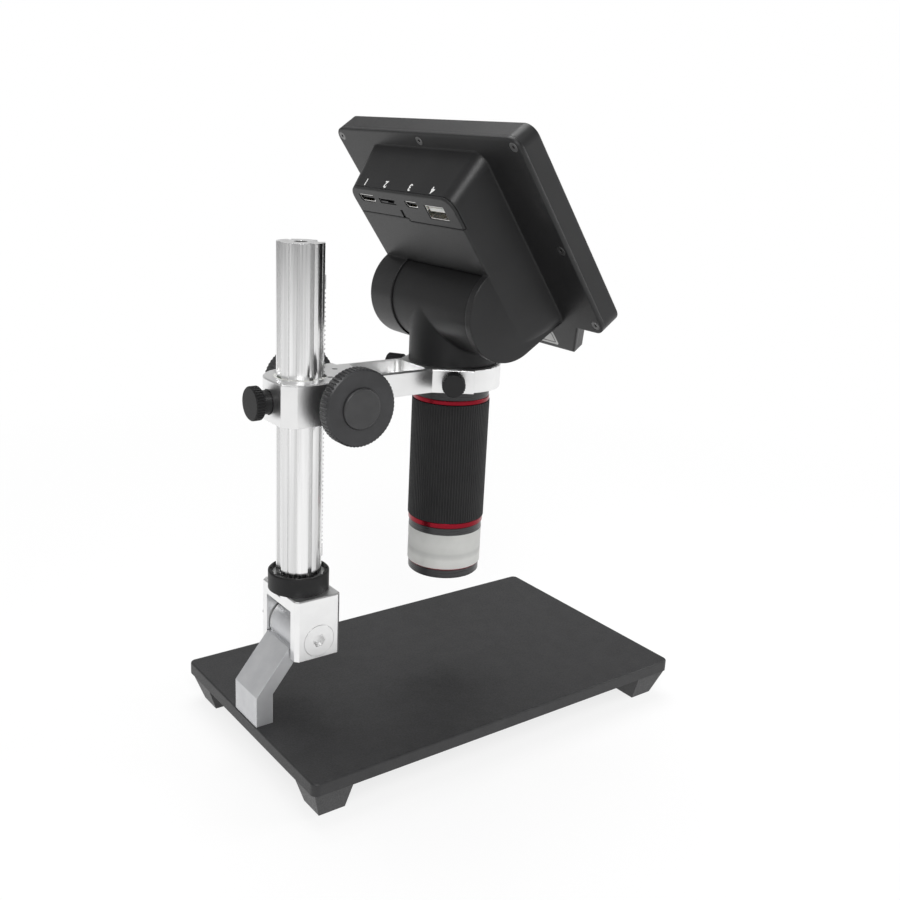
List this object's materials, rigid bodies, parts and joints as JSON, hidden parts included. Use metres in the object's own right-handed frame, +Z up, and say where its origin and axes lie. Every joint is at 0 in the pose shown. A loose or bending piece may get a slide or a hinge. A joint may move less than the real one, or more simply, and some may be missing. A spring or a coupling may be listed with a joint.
{
  "type": "lcd digital microscope",
  "caption": "Digital microscope with a tilting flat screen, carried by a clamp arm on a grooved rack column with focus knobs, over a flat footed base plate.",
  "frame": {"origin": "on the table, under the middle of the base plate", "axes": "+Z up, +X from the column towards the user who reads the screen, +Y across the stand"},
  "size_m": [0.2, 0.129, 0.2693],
  "materials": {
    "black_base": "matte powder coat",
    "silver_bracket": "bead blasted, anodised",
    "bright_aluminium": "fine machined, anodised",
    "column_aluminium": "polished extrusion",
    "black_aluminium": "black anodised, satin",
    "red_aluminium": "red anodised",
    "steel": "machined",
    "black_steel": "black oxide",
    "chrome_shell": "bright tinned",
    "brass": "machined",
    "black_plastic": "fine matte texture",
    "button_plastic": "satin",
    "nylon": "natural",
    "frosted_plastic": "frosted, translucent",
    "green_board": "solder mask",
    "white_led": "clear epoxy",
    "lcd": "display panel",
    "clear_glass": "polished",
    "grip_rubber": "ribbed",
    "pad_rubber": "soft foot"
  },
  "bodies": {
    "base": {"base_plate": "black_base", "foot_pads": "pad_rubber", "column_bracket": "silver_bracket", "bracket_screws": "black_steel"},
    "column": {"column_clevis": "bright_aluminium", "pivot_bolt": "steel", "pivot_nut": "steel", "pivot_washers": "nylon", "column_screw": "black_steel", "column_extrusion": "column_aluminium", "gear_rack": "steel", "rack_screws": "steel"},
    "collar": {"lock_collar": "black_aluminium"},
    "carriage": {"carriage_arm": "bright_aluminium", "guide_sleeve": "nylon", "shaft_bushes": "brass", "set_screws": "black_steel", "lock_pad": "nylon"},
    "focus_knobs": {"pinion_shaft": "steel", "focus_knob_near": "black_aluminium", "focus_knob_far": "black_aluminium", "knob_screws": "steel", "knob_caps": "black_plastic"},
    "lock_screw": {"column_lock_screw": "black_aluminium"},
    "ring_screw_a": {"ring_screw_near": "black_aluminium"},
    "ring_screw_b": {"ring_screw_far": "black_aluminium"},
    "microscope": {"main_tube": "black_aluminium", "lower_collar": "black_aluminium", "light_hood": "frosted_plastic", "seal_ring": "red_aluminium", "lens_cap": "black_plastic", "filter_glass": "clear_glass", "led_board": "green_board", "leds": "white_led", "image_board": "green_board", "neck_shell": "black_plastic", "hinge_spindle": "steel", "hinge_washer": "nylon", "hinge_nut": "steel"},
    "focus_grip": {"focus_sleeve": "black_aluminium", "focus_rings": "red_aluminium", "rubber_grip": "grip_rubber"},
    "lens_group": {"lens_cell": "black_aluminium", "lenses": "clear_glass"},
    "screen_head": {"rear_cover": "black_plastic", "port_panel": "black_plastic", "small_sockets": "chrome_shell", "usb_socket": "chrome_shell", "card_socket": "black_steel", "main_board": "green_board", "front_bezel": "black_plastic", "screen_glass": "clear_glass", "lcd_panel": "lcd", "button_board": "green_board", "cover_screws": "black_steel"},
    "button_1": {"button_1": "button_plastic"},
    "button_2": {"button_2": "button_plastic"},
    "button_3": {"button_3": "button_plastic"},
    "button_4": {"button_4": "button_plastic"},
    "button_5": {"button_5": "button_plastic"}
  },
  "joints": [
    {"name": "column_tilt", "type": "hinge", "parent": "base", "child": "column", "pos_m": [-0.073, 0, 0.0552], "axis": [0, 1, 0], "range_deg": [-45, 8]},
    {"name": "collar_turn", "type": "hinge", "parent": "column", "child": "collar", "pos_m": [-0.0745, 0, 0.079], "axis": [0, 0, 1], "range_deg": [-90, 90]},
    {"name": "carriage_slide", "type": "slide", "parent": "column", "child": "carriage", "axis": [0, 0, 1], "range_m": [-0.033, 0.038]},
    {"name": "focus_turn", "type": "hinge", "parent": "carriage", "child": "focus_knobs", "pos_m": [-0.0617, 0, 0.1583], "axis": [0, 1, 0], "range_deg": [-606, 526]},
    {"name": "lock_screw_turn", "type": "hinge", "parent": "carriage", "child": "lock_screw", "pos_m": [-0.0925, 0, 0.158], "axis": [-1, 0, 0], "range_deg": [-180, 180]},
    {"name": "ring_screw_near_turn", "type": "hinge", "parent": "carriage", "child": "ring_screw_a", "pos_m": [-0.00999, -0.01769, 0.16215], "axis": [-0.5736, -0.8192, 0], "range_deg": [-180, 180]},
    {"name": "ring_screw_far_turn", "type": "hinge", "parent": "carriage", "child": "ring_screw_b", "pos_m": [-0.00999, 0.01769, 0.16215], "axis": [-0.5736, 0.8192, 0], "range_deg": [-180, 180]},
    {"name": "microscope_turn", "type": "hinge", "parent": "carriage", "child": "microscope", "pos_m": [0.0024, 0, 0.16215], "axis": [0, 0, 1], "range_deg": [-35, 35]},
    {"name": "grip_turn", "type": "hinge", "parent": "microscope", "child": "focus_grip", "pos_m": [0.0024, 0, 0.123], "axis": [0, 0, 1], "range_deg": [-150, 150]},
    {"name": "lens_slide", "type": "slide", "parent": "microscope", "child": "lens_group", "axis": [0, 0, 1], "range_m": [-0.00402, 0.00402]},
    {"name": "screen_tilt", "type": "hinge", "parent": "microscope", "child": "screen_head", "pos_m": [0.0024, 0, 0.1934], "axis": [0, 1, 0], "range_deg": [-20, 28]},
    {"name": "button_1_press", "type": "slide", "parent": "screen_head", "child": "button_1", "axis": [-0.8141, 0, -0.5807], "range_m": [0, 0.0007], "stiffness_N_per_m": 400, "springref_m": -0.0002},
    {"name": "button_2_press", "type": "slide", "parent": "screen_head", "child": "button_2", "axis": [-0.8141, 0, -0.5807], "range_m": [0, 0.0007], "stiffness_N_per_m": 400, "springref_m": -0.0002},
    {"name": "button_3_press", "type": "slide", "parent": "screen_head", "child": "button_3", "axis": [-0.8141, 0, -0.5807], "range_m": [0, 0.0007], "stiffness_N_per_m": 400, "springref_m": -0.0002},
    {"name": "button_4_press", "type": "slide", "parent": "screen_head", "child": "button_4", "axis": [-0.8141, 0, -0.5807], "range_m": [0, 0.0007], "stiffness_N_per_m": 400, "springref_m": -0.0002},
    {"name": "button_5_press", "type": "slide", "parent": "screen_head", "child": "button_5", "axis": [-0.8141, 0, -0.5807], "range_m": [0, 0.0007], "stiffness_N_per_m": 400, "springref_m": -0.0002}
  ],
  "couplings": [
    {"joint": "focus_turn", "follows": "carriage_slide", "rad_per_m": -277.78},
    {"joint": "lens_slide", "follows": "grip_turn", "m_per_rad": -0.0015279}
  ]
}
